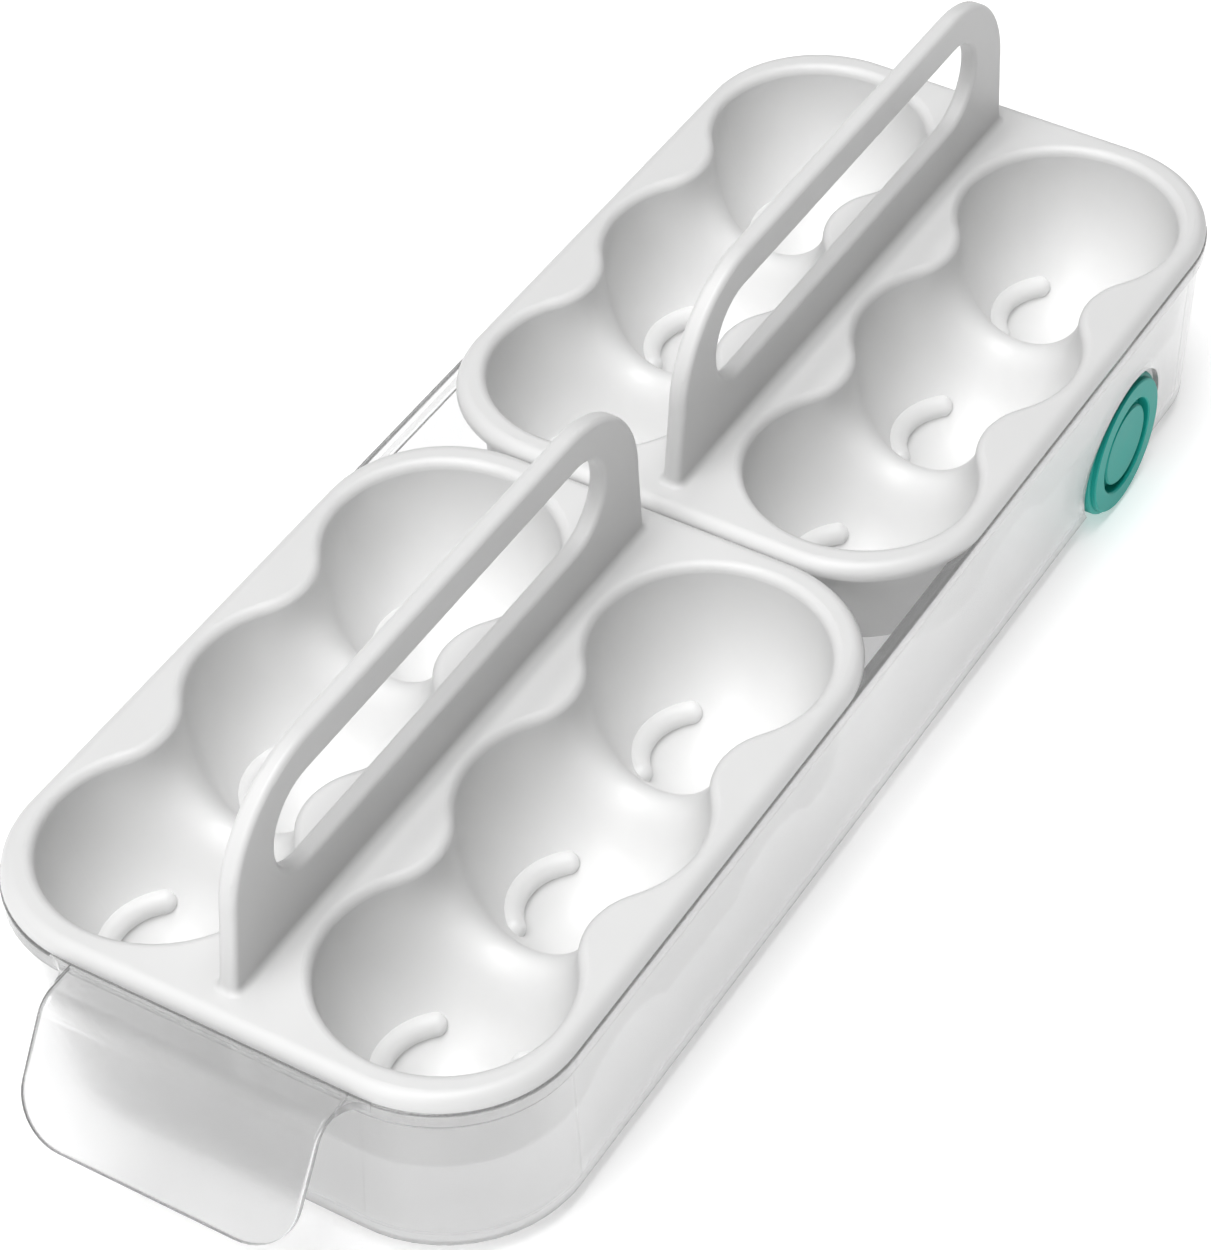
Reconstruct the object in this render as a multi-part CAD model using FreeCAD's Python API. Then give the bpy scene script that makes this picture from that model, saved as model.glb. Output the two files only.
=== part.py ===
"""Egg holder: a clear drawer on two rear wheels, with two lift-out egg caddies standing in it.

X is the width, Y runs from the pull lip at the front (-Y) to the rear, Z is up.
The floor is Z = 0 and all lengths are in millimetres.
"""
import math
import os

import FreeCAD
import Part
from FreeCAD import Vector

# Caddies: two equal trays, one behind the other
caddy_width = 131.0
caddy_length = 172.6
caddy_gap = 1.0
rim_height = 3.6
rim_corner_radius = 30.5
rim_edge_radius = 3.0
deck_thickness = 2.4
shell_thickness = 1.8

# Egg wells: two rows of three bowls, joined over saddles
middle_land = 14.9
side_land = 5.45
end_land = 7.3
cup_depth = 40.6
waist_share = 0.665
saddle_share = 0.507
well_edge_radius = 2.2
well_sections_per_pitch = 12
well_end_sections = 2
well_top_clearance = 3.0

# Crescent beads that grip each egg
bead_ring_radius = 15.2
bead_depth = 33.4
bead_section_radius = 2.6
bead_half_angle = 46.0

# Inner wall of the caddy, standing inside the bin
wall_thickness = 1.6
wall_drop = 24.1
wall_top_inset = 4.1
wall_bottom_side_inset = 5.2
wall_bottom_end_inset = 6.6
wall_top_corner_radius = 27.0
wall_bottom_corner_radius = 29.0
wheel_relief_gap = 0.6

# Carrying handle
handle_height = 47.0
handle_thickness = 4.4
handle_end_inset = 6.9
handle_side_lean = 1.9
handle_corner_radius = 28.0
handle_edge_radius = 1.4
handle_root_depth = 1.2
handle_root_radius = 1.5
slot_end_bar = 15.0
slot_height = 23.3
slot_top_drop = 9.5
slot_edge_radius = 1.2

# Bin
bin_bottom_z = 2.5
bin_height = 54.8
bin_wall = 1.8
bin_floor = 2.0
bin_bottom_edge_radius = 4.0
bin_inner_edge_radius = 2.4
band_margin = 0.4
band_height = 4.4
band_offset = 1.0
band_edge_radius = 0.7
seat_gap = 0.1
bin_side_draft = 3.9
bin_front_draft = 7.3
bin_rear_draft = 0.6
bin_bottom_front_corner_radius = 32.5
bin_bottom_rear_corner_radius = 20.5

# Pull lip at the front of the bin
lip_reach = 25.0
lip_side_inset = 32.5
lip_thickness = 2.2
lip_drop = 25.9
lip_slope = 60.6
lip_bend_radius = 6.0
lip_corner_radius = 12.0
lip_edge_radius = 0.7
lip_root_flare = 5.0
lip_root_overlap = 1.0

# Wheels, their wells and axle pins
wheel_radius = 18.3
wheel_width = 6.8
wheel_setback = 55.9
wheel_face_inset = 1.9
wheel_edge_radius = 0.8
face_ring_radius = 17.1
face_ring_height = 1.3
face_ring_edge = 0.3
pocket_radius = 12.2
pocket_depth = 2.9
bore_clearance = 0.06
well_radius = 19.5
well_wall = 1.6
well_overshoot = 6.0
well_side_gap = 0.5
well_floor = 1.8
boss_radius = 7.0
boss_length = 4.0
pin_radius = 4.0
pin_hole_clearance = 0.03
pin_head_radius = 10.3
pin_head_drop = 0.4
pin_head_gap = 0.3
pin_head_edge = 0.4
barb_radius = 4.6
barb_length = 1.6
barb_gap = 0.2

# Front feet of the bin
foot_radius = 6.0
foot_edge_radius = 0.6
foot_side_inset = 25.0
foot_setback = 32.6

# Places that follow from the sizes above
overall_length = caddy_length + caddy_gap + caddy_length + lip_reach
seam_y = lip_reach / 2
caddy_step = (caddy_length + caddy_gap) / 2
front_caddy_y = seam_y - caddy_step
rear_caddy_y = seam_y + caddy_step
front_rim_y = front_caddy_y - caddy_length / 2
rear_rim_y = rear_caddy_y + caddy_length / 2
rim_top_z = bin_bottom_z + bin_height
seat_z = rim_top_z + seat_gap
deck_z = seat_z + rim_height
wall_bottom_z = seat_z - wall_drop
cup_radius = (caddy_width / 2 - side_land - middle_land / 2) / 2
row_offset = middle_land / 2 + cup_radius
cup_pitch = caddy_length / 2 - end_land - cup_radius
handle_base_half_length = caddy_length / 2 - handle_end_inset
handle_side_half_length = handle_base_half_length - handle_side_lean
slot_half_length = handle_side_half_length - slot_end_bar
band_half_width = caddy_width / 2 + band_margin
band_front_y = front_rim_y - band_margin
band_rear_y = rear_rim_y + band_margin
band_corner_radius = rim_corner_radius + band_margin
bin_top_corner_radius = band_corner_radius - band_offset
bin_bottom_half_width = band_half_width - band_offset - bin_side_draft
lip_half_width = caddy_width / 2 - lip_side_inset
foot_x = bin_bottom_half_width - foot_side_inset
foot_y = front_rim_y + foot_setback
wheel_y = rear_rim_y - wheel_setback
wheel_face_x = caddy_width / 2 - wheel_face_inset
wheel_relief_y = wheel_y - rear_caddy_y
wheel_relief_radius = well_radius + well_wall + wheel_relief_gap
wheel_inner_x = wheel_face_x - wheel_width
well_floor_x = wheel_inner_x - well_side_gap
boss_end_x = well_floor_x - well_floor - boss_length
boss_root_x = well_floor_x - well_floor
half_share = math.sqrt(2.0) / 2
half_turn = 180.0
full_turn = 360.0
plane_tolerance = 0.001
edge_samples = 7


def rounded_outline(half_width, front, rear, front_radius, rear_radius, z):
    """Rectangle with rounded corners, lying level at height z."""
    def point(x, y):
        return Vector(x, y, z)

    def corner(x_sign, y_edge, y_sign, radius):
        """Two ends and the middle of one corner arc, starting on the side edge."""
        x_mid = half_width - radius + radius * half_share
        y_mid = y_edge - y_sign * (radius - radius * half_share)
        return (point(x_sign * half_width, y_edge - y_sign * radius),
                point(x_sign * x_mid, y_mid),
                point(x_sign * (half_width - radius), y_edge))

    right_front = corner(1, front, -1, front_radius)
    right_rear = corner(1, rear, 1, rear_radius)
    left_rear = corner(-1, rear, 1, rear_radius)
    left_front = corner(-1, front, -1, front_radius)
    edges = [Part.makeLine(right_front[0], right_rear[0]),
             Part.Arc(*right_rear).toShape(),
             Part.makeLine(right_rear[2], left_rear[2]),
             Part.Arc(left_rear[2], left_rear[1], left_rear[0]).toShape(),
             Part.makeLine(left_rear[0], left_front[0]),
             Part.Arc(*left_front).toShape(),
             Part.makeLine(left_front[2], right_front[2]),
             Part.Arc(right_front[2], right_front[1], right_front[0]).toShape()]
    return Part.Wire(edges)


def even_outline(half_width, half_length, radius, z):
    return rounded_outline(half_width, -half_length, half_length, radius, radius, z)


def prism(wire, height):
    return Part.Face(wire).extrude(Vector(0, 0, height))


def x_cylinder(radius, x_from, x_to, y, z):
    return Part.makeCylinder(radius, x_to - x_from, Vector(x_from, y, z), Vector(1, 0, 0))


def level_edges(shape, z, half_width, half_length):
    """Edges that lie wholly at height z and inside the given half width and half length."""
    found = []
    for edge in [edge for edge in shape.Edges if not edge.Degenerated]:
        places = edge.discretize(edge_samples)
        level = all(abs(place.z - z) < plane_tolerance for place in places)
        inside = all(abs(place.x) < half_width and abs(place.y) < half_length for place in places)
        if level and inside:
            found.append(edge)
    return found


def mirrored(shape):
    return shape.mirror(Vector(0, 0, 0), Vector(1, 0, 0))


def lobe(along, reach, waist):
    """Half width of a row of bowls: round lobes run into each other through arcs at the waists."""
    half_pitch = cup_pitch / 2
    from_centre = abs(along - cup_pitch * round(along / cup_pitch))
    neck_radius = (half_pitch ** 2 + waist ** 2 - reach ** 2) / (2 * (reach - waist))
    tangent = half_pitch * reach / (reach + neck_radius)
    if from_centre <= tangent:
        return math.sqrt(reach ** 2 - from_centre ** 2)
    return waist + neck_radius - math.sqrt(neck_radius ** 2 - (half_pitch - from_centre) ** 2)


def well_section(along, grow, top):
    """Level-topped half ellipse across a row, as wide and as deep as the bowls are there."""
    overlap = math.sqrt(max(0, cup_radius ** 2 - (cup_pitch / 2) ** 2))
    waist = overlap + waist_share * (cup_radius - overlap)
    saddle = (overlap + saddle_share * (cup_radius - overlap)) * cup_depth / cup_radius
    stretch = (cup_depth + grow) / (cup_radius + grow)
    width = lobe(along, cup_radius + grow, waist + grow)
    depth = stretch * lobe(along, cup_radius + grow, (saddle + grow) / stretch)
    right = Vector(width, along, 0)
    low = Vector(0, along, -depth)
    if depth >= width:
        curve = Part.Ellipse(low, right, Vector(0, along, 0))
    else:
        curve = Part.Ellipse(right, low, Vector(0, along, 0))
    middle = curve.parameter(low)
    bowl = Part.ArcOfEllipse(curve, middle - math.pi / 2, middle + math.pi / 2).toShape()
    ends = [bowl.valueAt(bowl.FirstParameter), bowl.valueAt(bowl.LastParameter)]
    lift = Vector(0, 0, top)
    sides = [Part.makeLine(ends[1], ends[1] + lift),
             Part.makeLine(ends[1] + lift, ends[0] + lift),
             Part.makeLine(ends[0] + lift, ends[0])]
    return Part.Wire([bowl] + sides)


def well_end(grow, top):
    """Outer half of the end bowl, turned about the bowl's own axis."""
    reach = cup_radius + grow
    depth = cup_depth + grow
    curve = Part.Ellipse(Vector(0, 0, -depth), Vector(reach, 0, 0), Vector(0, 0, 0))
    low = curve.parameter(Vector(0, 0, -depth))
    side = curve.parameter(Vector(reach, 0, 0))
    quarter = Part.ArcOfEllipse(curve, low, side).toShape()
    outer = Vector(reach, 0, 0)
    lines = [Part.makeLine(outer, Vector(reach, 0, top)),
             Part.makeLine(Vector(reach, 0, top), Vector(0, 0, top)),
             Part.makeLine(Vector(0, 0, top), Vector(0, 0, -depth))]
    profile = Part.Face(Part.Wire([quarter] + lines))
    return profile.revolve(Vector(0, 0, 0), Vector(0, 0, 1), half_turn)


def well_row(grow, top):
    """One row of three joined bowls, its deck level at Z = 0."""
    last = well_sections_per_pitch + well_end_sections
    sections = []
    for step in range(-last, last + 1):
        along = cup_pitch * step / well_sections_per_pitch
        sections.append(well_section(along, grow, top))
    deep = cup_depth + grow
    kept = Part.makeBox(caddy_width, 2 * cup_pitch, 2 * deep,
                        Vector(-caddy_width / 2, -cup_pitch, top - 2 * deep))
    middle = Part.makeLoft(sections, True, False).common(kept)
    rear = well_end(grow, top)
    rear.translate(Vector(0, cup_pitch, 0))
    front = well_end(grow, top)
    front.rotate(Vector(0, 0, 0), Vector(0, 0, 1), half_turn)
    front.translate(Vector(0, -cup_pitch, 0))
    return middle.fuse([rear, front])


def bead():
    """Round-ended crescent on the +X side of a bowl whose deck level is Z = 0."""
    start = Vector(bead_ring_radius, 0, -bead_depth)
    circle = Part.Wire(Part.makeCircle(bead_section_radius, start, Vector(0, 1, 0)))
    arc = Part.Face(circle).revolve(Vector(0, 0, 0), Vector(0, 0, 1), 2 * bead_half_angle)
    first = Part.makeSphere(bead_section_radius, start)
    last = first.copy()
    last.rotate(Vector(0, 0, 0), Vector(0, 0, 1), 2 * bead_half_angle)
    crescent = arc.fuse([first, last])
    crescent.rotate(Vector(0, 0, 0), Vector(0, 0, 1), -bead_half_angle)
    return crescent


def handle():
    """Upright slotted plate along the caddy's middle, with its deck level at Z = 0."""
    def point(y, z):
        return Vector(-handle_thickness / 2, y, z)

    arc_y = handle_side_half_length - handle_corner_radius
    arc_z = handle_height - handle_corner_radius
    share_y = arc_y + handle_corner_radius * half_share
    share_z = arc_z + handle_corner_radius * half_share
    foot_half_length = handle_base_half_length + handle_side_lean * handle_root_depth / arc_z
    edges = [Part.makeLine(point(-foot_half_length, -handle_root_depth),
                           point(foot_half_length, -handle_root_depth)),
             Part.makeLine(point(foot_half_length, -handle_root_depth),
                           point(handle_side_half_length, arc_z)),
             Part.Arc(point(handle_side_half_length, arc_z), point(share_y, share_z),
                      point(arc_y, handle_height)).toShape(),
             Part.makeLine(point(arc_y, handle_height), point(-arc_y, handle_height)),
             Part.Arc(point(-arc_y, handle_height), point(-share_y, share_z),
                      point(-handle_side_half_length, arc_z)).toShape(),
             Part.makeLine(point(-handle_side_half_length, arc_z),
                           point(-foot_half_length, -handle_root_depth))]
    plate = Part.Face(Part.Wire(edges)).extrude(Vector(handle_thickness, 0, 0))
    outer = [edge for edge in plate.Edges
             if edge.BoundBox.XLength < handle_thickness / 2 and edge.BoundBox.ZMax > 0]
    plate = plate.makeFillet(handle_edge_radius, outer)

    end_radius = slot_height / 2
    slot_z = handle_height - slot_top_drop - end_radius
    slot_y = slot_half_length - end_radius
    reach = Vector(handle_thickness, 0, 0)
    rounds = [Part.makeCylinder(end_radius, handle_thickness, point(y, slot_z), reach)
              for y in (-slot_y, slot_y)]
    straight = Part.makeBox(handle_thickness, 2 * slot_y, slot_height,
                            point(-slot_y, slot_z - end_radius))
    slot = straight.fuse(rounds).removeSplitter()
    plate = plate.cut(slot)
    inner = [edge for edge in plate.Edges
             if edge.BoundBox.XLength < handle_edge_radius / 2
             and edge.BoundBox.ZMin >= slot_z - end_radius - slot_edge_radius
             and edge.BoundBox.ZMax <= slot_z + end_radius + slot_edge_radius
             and edge.BoundBox.YMax <= slot_half_length + slot_edge_radius
             and edge.BoundBox.YMin >= -slot_half_length - slot_edge_radius
             and abs(edge.BoundBox.XMax) > handle_thickness / 2 - slot_edge_radius / 2]
    return plate.makeFillet(slot_edge_radius, inner)


def caddy():
    """One egg caddy, centred on X = Y = 0, with its deck at its true height."""
    half_width = caddy_width / 2
    half_length = caddy_length / 2
    rim = prism(even_outline(half_width, half_length, rim_corner_radius, seat_z), rim_height)
    rim = rim.makeFillet(rim_edge_radius, level_edges(rim, deck_z, caddy_width, caddy_length))

    wall_top = even_outline(half_width - wall_top_inset, half_length - wall_top_inset,
                            wall_top_corner_radius, seat_z + deck_thickness)
    wall_low = even_outline(half_width - wall_bottom_side_inset, half_length - wall_bottom_end_inset,
                            wall_bottom_corner_radius, wall_bottom_z)
    space_inset = wall_top_inset + wall_thickness
    space_top = even_outline(half_width - space_inset, half_length - space_inset,
                             wall_top_corner_radius - wall_thickness, deck_z - deck_thickness)
    space_low = even_outline(half_width - wall_bottom_side_inset - wall_thickness,
                             half_length - wall_bottom_end_inset - wall_thickness,
                             wall_bottom_corner_radius - wall_thickness, wall_bottom_z)
    tub = rim.fuse(Part.makeLoft([wall_low, wall_top], True, True))
    tub = tub.cut(Part.makeLoft([space_low, space_top], True, True))
    for place in (-wheel_relief_y, wheel_relief_y):
        tub = tub.cut(x_cylinder(wheel_relief_radius, -half_width, half_width, place, wheel_radius))

    inside_wall = prism(even_outline(half_width - wall_top_inset, half_length - wall_top_inset,
                                     wall_top_corner_radius, 0), deck_z - deck_thickness / 2)
    bowls = []
    hollows = []
    for side in (-1, 1):
        place = Vector(side * row_offset, 0, deck_z)
        bowl = well_row(shell_thickness, well_top_clearance)
        bowl.translate(place)
        bowls.append(bowl.common(inside_wall))
        hollow = well_row(0, well_top_clearance)
        for cup in (-1, 0, 1):
            right_bead = bead()
            right_bead.translate(Vector(0, cup * cup_pitch, 0))
            hollow = hollow.cut([right_bead, mirrored(right_bead)])
        hollow.translate(place)
        hollows.append(hollow)
    tray = tub.fuse(bowls).cut(hollows)
    well_edges = level_edges(tray, deck_z, half_width - rim_edge_radius - well_edge_radius / 2,
                             half_length - rim_edge_radius - well_edge_radius / 2)
    tray = tray.makeFillet(well_edge_radius, well_edges)

    grip = handle()
    grip.translate(Vector(0, 0, deck_z))
    tray = tray.fuse(grip)
    root_edges = level_edges(tray, deck_z, handle_thickness, handle_base_half_length + handle_root_radius)
    return tray.makeFillet(handle_root_radius, root_edges).Solids[0]


def bin_outline(z, inset):
    """Level outline of the bin's drafted wall at height z, moved inwards by inset."""
    up_share = (z - bin_bottom_z) / bin_height
    down_share = 1 - up_share
    half_width = up_share * (band_half_width - band_offset) + down_share * bin_bottom_half_width
    front = band_front_y + band_offset + down_share * bin_front_draft
    rear = band_rear_y - band_offset - down_share * bin_rear_draft
    front_radius = up_share * bin_top_corner_radius + down_share * bin_bottom_front_corner_radius
    rear_radius = up_share * bin_top_corner_radius + down_share * bin_bottom_rear_corner_radius
    return rounded_outline(half_width - inset, front + inset, rear - inset,
                           front_radius - inset, rear_radius - inset, z)


def pull_lip():
    """Flange that runs forward from the rim and bends down to a round-cornered pull."""
    slope = math.radians(lip_slope)
    ahead = Vector(0, -math.cos(slope), -math.sin(slope))
    outward = Vector(0, -math.sin(slope), math.cos(slope))
    down = Vector(0, 0, -lip_thickness)
    lower_end = Vector(-lip_half_width, -overall_length / 2, rim_top_z - lip_drop)
    bend = lower_end - ahead * (lip_drop / math.sin(slope))
    root = Vector(-lip_half_width, band_front_y + lip_root_overlap, rim_top_z)
    inner_bend = bend + down + Vector(0, lip_thickness * math.tan(slope / 2), 0)
    inner_end = lower_end - outward * lip_thickness
    profile = Part.makePolygon([root, bend, lower_end, inner_end, inner_bend, root + down, root])
    plate = Part.Face(profile).extrude(Vector(2 * lip_half_width, 0, 0))

    def rounded(shape, radius, *places):
        """Round off the edges that pass through the given places."""
        chosen = [edge for edge in shape.Edges
                  if any(edge.distToShape(Part.Vertex(place))[0] < plane_tolerance for place in places)]
        return shape.makeFillet(radius, chosen)

    half_across = Vector(lip_half_width, 0, 0)
    left_corner = (lower_end + inner_end) * (1 / 2)
    plate = rounded(plate, lip_corner_radius, left_corner, left_corner + half_across + half_across)
    plate = rounded(plate, lip_bend_radius, bend + half_across)
    plate = rounded(plate, lip_bend_radius - lip_thickness, inner_bend + half_across)
    plate = rounded(plate, lip_edge_radius, lower_end + half_across, inner_end + half_across)

    flare_y = band_front_y - lip_root_flare
    flare = Part.makeBox(lip_root_flare, lip_root_flare + lip_root_overlap, lip_thickness,
                         Vector(lip_half_width, flare_y, rim_top_z - lip_thickness))
    flare = flare.cut(Part.makeCylinder(lip_root_flare, lip_thickness,
                                        Vector(lip_half_width + lip_root_flare, flare_y,
                                               rim_top_z - lip_thickness)))
    return plate.fuse([flare, mirrored(flare)])


def clear_bin():
    """Drafted bin with a rim band, a pull lip, wheel wells and front feet."""
    everywhere = overall_length
    outer = Part.makeLoft([bin_outline(bin_bottom_z, 0), bin_outline(rim_top_z, 0)], True, True)
    outer = outer.makeFillet(bin_bottom_edge_radius, level_edges(outer, bin_bottom_z, everywhere, everywhere))
    band_low_z = rim_top_z - band_height
    band = prism(rounded_outline(band_half_width, band_front_y, band_rear_y, band_corner_radius,
                                 band_corner_radius, band_low_z), band_height)
    band_edges = level_edges(band, rim_top_z, everywhere, everywhere)
    band_edges += level_edges(band, band_low_z, everywhere, everywhere)
    band = band.makeFillet(band_edge_radius, band_edges)
    floor_z = bin_bottom_z + bin_floor
    space = Part.makeLoft([bin_outline(floor_z, bin_wall), bin_outline(rim_top_z + bin_wall, bin_wall)],
                          True, True)
    space = space.makeFillet(bin_inner_edge_radius, level_edges(space, floor_z, everywhere, everywhere))
    body = outer.fuse([band, pull_lip()]).cut(space)

    outside_x = band_half_width + well_overshoot
    well = x_cylinder(well_radius + well_wall, boss_root_x, outside_x, wheel_y, wheel_radius)
    boss = x_cylinder(boss_radius, boss_end_x, well_floor_x, wheel_y, wheel_radius)
    foot = Part.makeCylinder(foot_radius, bin_bottom_z + bin_floor / 2, Vector(foot_x, foot_y, 0))
    foot = foot.makeFillet(foot_edge_radius, level_edges(foot, 0, everywhere, everywhere))
    added = [well.common(outer), boss, foot]
    room = x_cylinder(well_radius, well_floor_x, outside_x, wheel_y, wheel_radius)
    hole = x_cylinder(pin_radius + pin_hole_clearance, 0, outside_x, wheel_y, wheel_radius)
    removed = [room, hole]
    body = body.fuse(added + [mirrored(piece) for piece in added])
    body = body.cut(removed + [mirrored(piece) for piece in removed])
    return body.Solids[0]


def turned(x_and_radius):
    """Solid turned about the right wheel's axis, from pairs of x and radius."""
    places = [Vector(x, wheel_y, wheel_radius + radius) for x, radius in x_and_radius]
    face = Part.Face(Part.makePolygon(places + places[:1]))
    return face.revolve(Vector(0, wheel_y, wheel_radius), Vector(1, 0, 0), full_turn)


def wheel():
    """Right wheel: a plain tread, a raised face ring and a deep pocket for the pin's head."""
    ring_root_x = wheel_face_x - face_ring_height
    bore = pin_radius + bore_clearance
    tread_in_x = wheel_inner_x + wheel_edge_radius
    tread_out_x = ring_root_x - wheel_edge_radius
    edge_r = wheel_radius - wheel_edge_radius
    soft = wheel_edge_radius * (1 - half_share)
    return turned([(wheel_inner_x, bore), (wheel_inner_x, edge_r),
                   (wheel_inner_x + soft, wheel_radius - soft), (tread_in_x, wheel_radius),
                   (tread_out_x, wheel_radius), (ring_root_x - soft, wheel_radius - soft),
                   (ring_root_x, edge_r), (ring_root_x, face_ring_radius),
                   (wheel_face_x - face_ring_edge, face_ring_radius),
                   (wheel_face_x, face_ring_radius - face_ring_edge),
                   (wheel_face_x, pocket_radius + face_ring_edge),
                   (wheel_face_x - face_ring_edge, pocket_radius),
                   (wheel_face_x - pocket_depth, pocket_radius), (wheel_face_x - pocket_depth, bore)])


def axle_pin():
    """Right stub axle: a wide flat head, a plain shank and a barbed tip behind the boss."""
    head_x = wheel_face_x - pin_head_drop
    neck_x = wheel_face_x - pocket_depth + pin_head_gap
    barb_x = boss_end_x - barb_gap
    return turned([(barb_x - barb_length, 0), (barb_x - barb_length, pin_radius - barb_gap),
                   (barb_x, barb_radius), (barb_x, pin_radius), (neck_x, pin_radius),
                   (neck_x, pin_head_radius), (head_x - pin_head_edge, pin_head_radius),
                   (head_x, pin_head_radius - pin_head_edge), (head_x, 0)])


def export(shape, name):
    shape.exportStep("parts/" + name + ".step")


os.makedirs("parts", exist_ok=True)
export(clear_bin(), "bin")
egg_caddy = caddy()
for name, caddy_y in (("front_caddy", front_caddy_y), ("rear_caddy", rear_caddy_y)):
    placed_caddy = egg_caddy.copy()
    placed_caddy.translate(Vector(0, caddy_y, 0))
    export(placed_caddy, name)
right_wheel = wheel()
export(right_wheel, "right_wheel")
export(mirrored(right_wheel), "left_wheel")
right_pin = axle_pin()
export(right_pin, "right_axle_pin")
export(mirrored(right_pin), "left_axle_pin")
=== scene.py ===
import math

import bpy
from mathutils import Matrix, Vector

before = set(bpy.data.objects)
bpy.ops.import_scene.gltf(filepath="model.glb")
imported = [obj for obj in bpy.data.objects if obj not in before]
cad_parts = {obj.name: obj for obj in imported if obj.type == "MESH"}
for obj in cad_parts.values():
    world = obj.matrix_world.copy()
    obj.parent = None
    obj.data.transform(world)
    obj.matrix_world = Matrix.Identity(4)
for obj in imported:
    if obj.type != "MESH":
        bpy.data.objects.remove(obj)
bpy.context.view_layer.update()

# Lengths and places are in metres, lamp powers in watts. Tones and colours are linear.

# Camera of the photograph: focal length in pixels, place and angles.
IMAGE_LONG_SIDE_PX = 1250
FOCAL_PX = 4112.0
SENSOR_MM = 36.0
CAMERA_PLACE = Vector((0.33882, -0.57495, 0.66594))
CAMERA_AZIMUTH = math.radians(30.88)
CAMERA_ELEVATION = math.radians(43.42)
CAMERA_ROLL = math.radians(-0.33)
CLIP_NEAR = 0.01
CLIP_FAR = 50.0

# Floor: pale paper, just below the feet, with a glow that fades with distance.
FLOOR_HALF_SIZE = 6.0
FLOOR_LEVEL = -0.0005
FLOOR_TONE = 0.93
FLOOR_SPREAD = 0.004
FLOOR_NOISE_SCALE = 3.0
FLOOR_ROUGHNESS = 0.55
FLOOR_GLOW_NEAR = 0.42
FLOOR_GLOW_FAR = 0.14
FLOOR_GLOW_START = 0.22
FLOOR_GLOW_END = 0.62

# Light: a broad key overhead, a weaker fill from the front and a dim surround.
KEY_PLACE = Vector((-0.08, -0.70, 3.10))
KEY_AIM = Vector((-0.08, 0.0, 0.0))
KEY_SIZE = (1.8, 3.2)
KEY_POWER = 112.0
FILL_PLACE = Vector((-0.15, -2.60, 1.60))
FILL_AIM = Vector((0.0, 0.0, 0.03))
FILL_SIZE = (1.2, 1.2)
FILL_POWER = 20.0
WORLD_TONE = 0.06

# Noise shared by the plastics: clouds in colour and gloss, mould grain and sink waves.
CLOUD_DETAIL = 4.0
CLOUD_ROUGHNESS = 0.6
GRAIN_DETAIL = 2.0
GRAIN_ROUGHNESS = 0.7
WAVE_DETAIL = 1.0
WAVE_ROUGHNESS = 0.4

# Gloss of the plastics.
PLASTIC_IOR = 1.49
TEAL_SPECULAR = 0.3
CLEAR_TRANSMISSION = 1.0
CLEAR_COAT = 0.4
CLEAR_COAT_ROUGHNESS = 0.08

# A faint glow stands in for the light that the milky plastic scatters inside its walls.
CLEAR_GLOW = 0.030

# Frosted zone at the foot of the clear plastic: heights and greatest roughness.
FROST_BOTTOM = 0.004
FROST_TOP = 0.014
FROST_ROUGHNESS = 0.55


def grey(tone):
    """A colour without hue."""
    return (tone, tone, tone)


def opaque(colour):
    """A colour with full alpha, as Blender's colour sockets take it."""
    return (*colour, 1.0)


WHITE_LIGHT = opaque(grey(1.0))


class Nodes:
    """Adds nodes to one tree and links them by socket name."""

    def __init__(self, tree):
        self.tree = tree

    def add(self, kind, **values):
        node = self.tree.nodes.new(kind)
        for name, value in values.items():
            setattr(node, name, value)
        return node

    def link(self, source, output, target, entry):
        self.tree.links.new(source.outputs[output], target.inputs[entry])

    def noise(self, coords, scale, detail, roughness):
        node = self.add("ShaderNodeTexNoise")
        node.inputs["Scale"].default_value = scale
        node.inputs["Detail"].default_value = detail
        node.inputs["Roughness"].default_value = roughness
        self.link(coords, "Object", node, "Vector")
        return node

    def span(self, source, low, high):
        """Spreads a noise over the values from low to high."""
        node = self.add("ShaderNodeMapRange")
        node.inputs["To Min"].default_value = low
        node.inputs["To Max"].default_value = high
        self.link(source, "Fac", node, "Value")
        return node

    def fade(self, source, output, start, end, first, last):
        """Goes softly from the first value to the last while the source goes from start to end."""
        node = self.add("ShaderNodeMapRange", interpolation_type="SMOOTHSTEP")
        node.inputs["From Min"].default_value = start
        node.inputs["From Max"].default_value = end
        node.inputs["To Min"].default_value = first
        node.inputs["To Max"].default_value = last
        self.link(source, output, node, "Value")
        return node

    def ramp(self, source, dark, light):
        """Colours a noise from dark to light."""
        node = self.add("ShaderNodeValToRGB")
        node.color_ramp.elements[0].color = opaque(dark)
        node.color_ramp.elements[1].color = opaque(light)
        self.link(source, "Fac", node, "Fac")
        return node

    def bump(self, source, strength, distance, below=None):
        """Turns a noise into relief, on top of the relief below it if there is one."""
        node = self.add("ShaderNodeBump")
        node.inputs["Strength"].default_value = strength
        node.inputs["Distance"].default_value = distance
        self.link(source, "Fac", node, "Height")
        if below is not None:
            self.link(below, "Normal", node, "Normal")
        return node


def new_material(name):
    """An empty material, its node builder and its shader."""
    material = bpy.data.materials.new(name)
    material.use_nodes = True
    return material, Nodes(material.node_tree), material.node_tree.nodes["Principled BSDF"]


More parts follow.
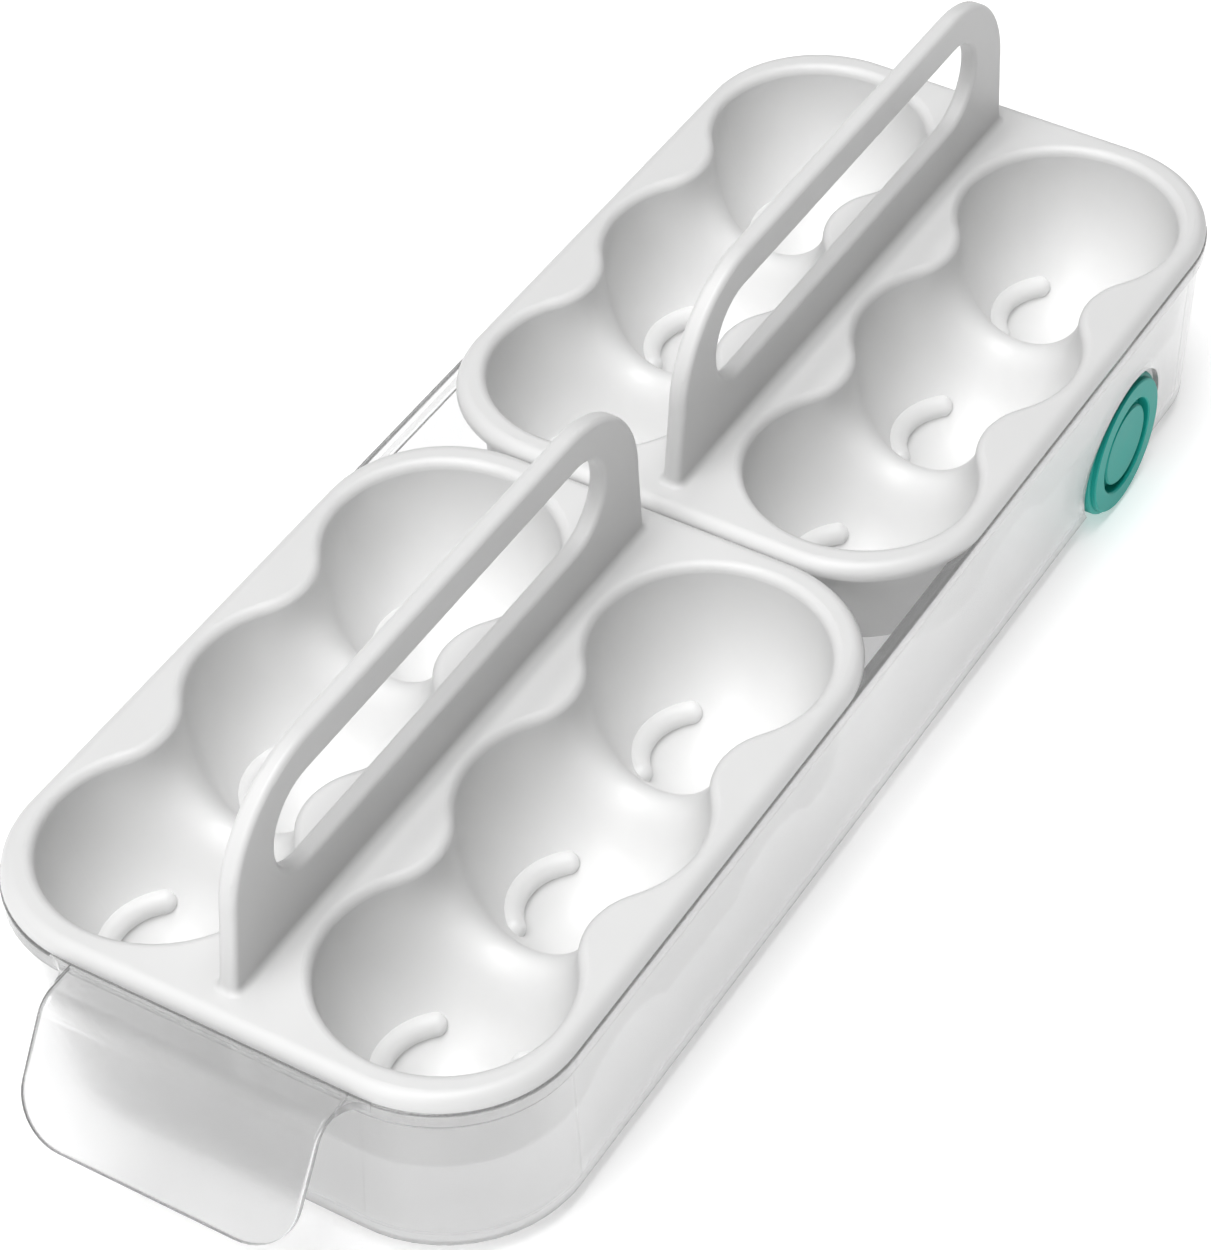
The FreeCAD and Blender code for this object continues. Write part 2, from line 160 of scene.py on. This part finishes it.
def plastic(name, dark, light, rough, cloud_scale, grain_scale, grain, wave_scale, wave):
    """A moulded plastic: cloudy colour and gloss, a fine mould grain and faint sink waves.

    rough is the range of the roughness, grain and wave are each a bump's strength and depth.
    """
    material, nodes, shader = new_material(name)
    coords = nodes.add("ShaderNodeTexCoord")
    cloud = nodes.noise(coords, cloud_scale, CLOUD_DETAIL, CLOUD_ROUGHNESS)
    grain_noise = nodes.noise(coords, grain_scale, GRAIN_DETAIL, GRAIN_ROUGHNESS)
    wave_noise = nodes.noise(coords, wave_scale, WAVE_DETAIL, WAVE_ROUGHNESS)
    nodes.link(nodes.ramp(cloud, dark, light), "Color", shader, "Base Color")
    nodes.link(nodes.span(cloud, *rough), "Result", shader, "Roughness")
    waves = nodes.bump(wave_noise, *wave)
    nodes.link(nodes.bump(grain_noise, *grain, below=waves), "Normal", shader, "Normal")
    shader.inputs["IOR"].default_value = PLASTIC_IOR
    return material, shader


def frost_underside(material, shader):
    """Makes a plastic duller towards its underside and feet, where the mould is textured."""
    nodes = Nodes(material.node_tree)
    coords = nodes.add("ShaderNodeTexCoord")
    height = nodes.add("ShaderNodeSeparateXYZ")
    nodes.link(coords, "Object", height, "Vector")
    frost = nodes.fade(height, "Z", FROST_BOTTOM, FROST_TOP, FROST_ROUGHNESS, 0.0)
    polished = shader.inputs["Roughness"].links[0].from_node
    duller = nodes.add("ShaderNodeMath", operation="MAXIMUM")
    nodes.link(polished, "Result", duller, 0)
    nodes.link(frost, "Result", duller, 1)
    nodes.link(duller, "Value", shader, "Roughness")


def floor_material():
    """Matt pale paper with a faint, broad unevenness and a glow around the object."""
    material, nodes, shader = new_material("pale_floor")
    coords = nodes.add("ShaderNodeTexCoord")
    paper = nodes.noise(coords, FLOOR_NOISE_SCALE, CLOUD_DETAIL, CLOUD_ROUGHNESS)
    low = grey(FLOOR_TONE - FLOOR_SPREAD)
    high = grey(FLOOR_TONE + FLOOR_SPREAD)
    nodes.link(nodes.ramp(paper, low, high), "Color", shader, "Base Color")
    shader.inputs["Roughness"].default_value = FLOOR_ROUGHNESS
    shader.inputs["Emission Color"].default_value = WHITE_LIGHT
    reach = nodes.add("ShaderNodeVectorMath", operation="LENGTH")
    nodes.link(coords, "Object", reach, "Vector")
    glow = nodes.fade(
        reach, "Value", FLOOR_GLOW_START, FLOOR_GLOW_END, FLOOR_GLOW_NEAR, FLOOR_GLOW_FAR
    )
    nodes.link(glow, "Result", shader, "Emission Strength")
    return material


def soft_light(name, place, aim, size, power):
    """A rectangular area light at a place, turned towards the point it is aimed at."""
    data = bpy.data.lights.new(name, "AREA")
    data.shape = "RECTANGLE"
    data.size, data.size_y = size
    data.energy = power
    light = bpy.data.objects.new(name, data)
    light.location = place
    light.rotation_euler = (aim - place).to_track_quat("-Z", "Y").to_euler()
    bpy.context.scene.collection.objects.link(light)


# Finishes of the seven pieces.
white_plastic, _ = plastic(
    "white_plastic",
    dark=(0.720, 0.720, 0.718),
    light=(0.760, 0.760, 0.758),
    rough=(0.34, 0.46),
    cloud_scale=45.0,
    grain_scale=2600.0,
    grain=(0.05, 0.00008),
    wave_scale=28.0,
    wave=(0.04, 0.0006),
)

clear_plastic, clear_shader = plastic(
    "clear_plastic",
    dark=(0.830, 0.830, 0.831),
    light=(0.866, 0.866, 0.867),
    rough=(0.15, 0.23),
    cloud_scale=35.0,
    grain_scale=2200.0,
    grain=(0.05, 0.00006),
    wave_scale=40.0,
    wave=(0.05, 0.0008),
)
frost_underside(clear_plastic, clear_shader)
clear_shader.inputs["Transmission Weight"].default_value = CLEAR_TRANSMISSION
clear_shader.inputs["Coat Weight"].default_value = CLEAR_COAT
clear_shader.inputs["Coat Roughness"].default_value = CLEAR_COAT_ROUGHNESS
clear_shader.inputs["Emission Color"].default_value = WHITE_LIGHT
clear_shader.inputs["Emission Strength"].default_value = CLEAR_GLOW

teal_plastic, teal_shader = plastic(
    "teal_plastic",
    dark=(0.004, 0.375, 0.318),
    light=(0.010, 0.425, 0.364),
    rough=(0.42, 0.54),
    cloud_scale=120.0,
    grain_scale=3000.0,
    grain=(0.08, 0.00008),
    wave_scale=60.0,
    wave=(0.03, 0.0004),
)
teal_shader.inputs["Specular IOR Level"].default_value = TEAL_SPECULAR

FINISH = {
    "bin": clear_plastic,
    "front_caddy": white_plastic,
    "rear_caddy": white_plastic,
    "right_wheel": teal_plastic,
    "left_wheel": teal_plastic,
    "right_axle_pin": teal_plastic,
    "left_axle_pin": teal_plastic,
}
for node_name, finish in FINISH.items():
    for material_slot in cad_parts[node_name].material_slots:
        material_slot.material = finish

# Stage: the floor, two lights and the surround.
half = FLOOR_HALF_SIZE
floor_mesh = bpy.data.meshes.new("studio_floor")
floor_mesh.from_pydata(
    [(-half, -half, 0), (half, -half, 0), (half, half, 0), (-half, half, 0)],
    [],
    [(0, 1, 2, 3)],
)
floor = bpy.data.objects.new("studio_floor", floor_mesh)
floor.data.materials.append(floor_material())
floor.location.z = FLOOR_LEVEL
bpy.context.scene.collection.objects.link(floor)

soft_light("key_light", KEY_PLACE, KEY_AIM, KEY_SIZE, KEY_POWER)
soft_light("fill_light", FILL_PLACE, FILL_AIM, FILL_SIZE, FILL_POWER)

world = bpy.data.worlds.new("studio")
world.use_nodes = True
background = world.node_tree.nodes["Background"]
background.inputs["Color"].default_value = opaque(grey(WORLD_TONE))
bpy.context.scene.world = world

# Camera: its axes follow from azimuth, elevation and roll.
back = Vector((
    math.sin(CAMERA_AZIMUTH) * math.cos(CAMERA_ELEVATION),
    -math.cos(CAMERA_AZIMUTH) * math.cos(CAMERA_ELEVATION),
    math.sin(CAMERA_ELEVATION),
))
level = Vector((math.cos(CAMERA_AZIMUTH), math.sin(CAMERA_AZIMUTH), 0))
rise = back.cross(level)
right = math.cos(CAMERA_ROLL) * level + math.sin(CAMERA_ROLL) * rise
up = math.cos(CAMERA_ROLL) * rise - math.sin(CAMERA_ROLL) * level
turn = Matrix((right, up, back)).transposed().to_4x4()
camera_data = bpy.data.cameras.new("photo_camera")
camera_data.sensor_fit = "AUTO"
camera_data.sensor_width = SENSOR_MM
camera_data.lens = FOCAL_PX / IMAGE_LONG_SIDE_PX * SENSOR_MM
camera_data.clip_start = CLIP_NEAR
camera_data.clip_end = CLIP_FAR
camera = bpy.data.objects.new("photo_camera", camera_data)
camera.matrix_world = Matrix.Translation(CAMERA_PLACE) @ turn
bpy.context.scene.collection.objects.link(camera)
bpy.context.scene.camera = camera
bpy.context.scene.view_settings.view_transform = "Standard"
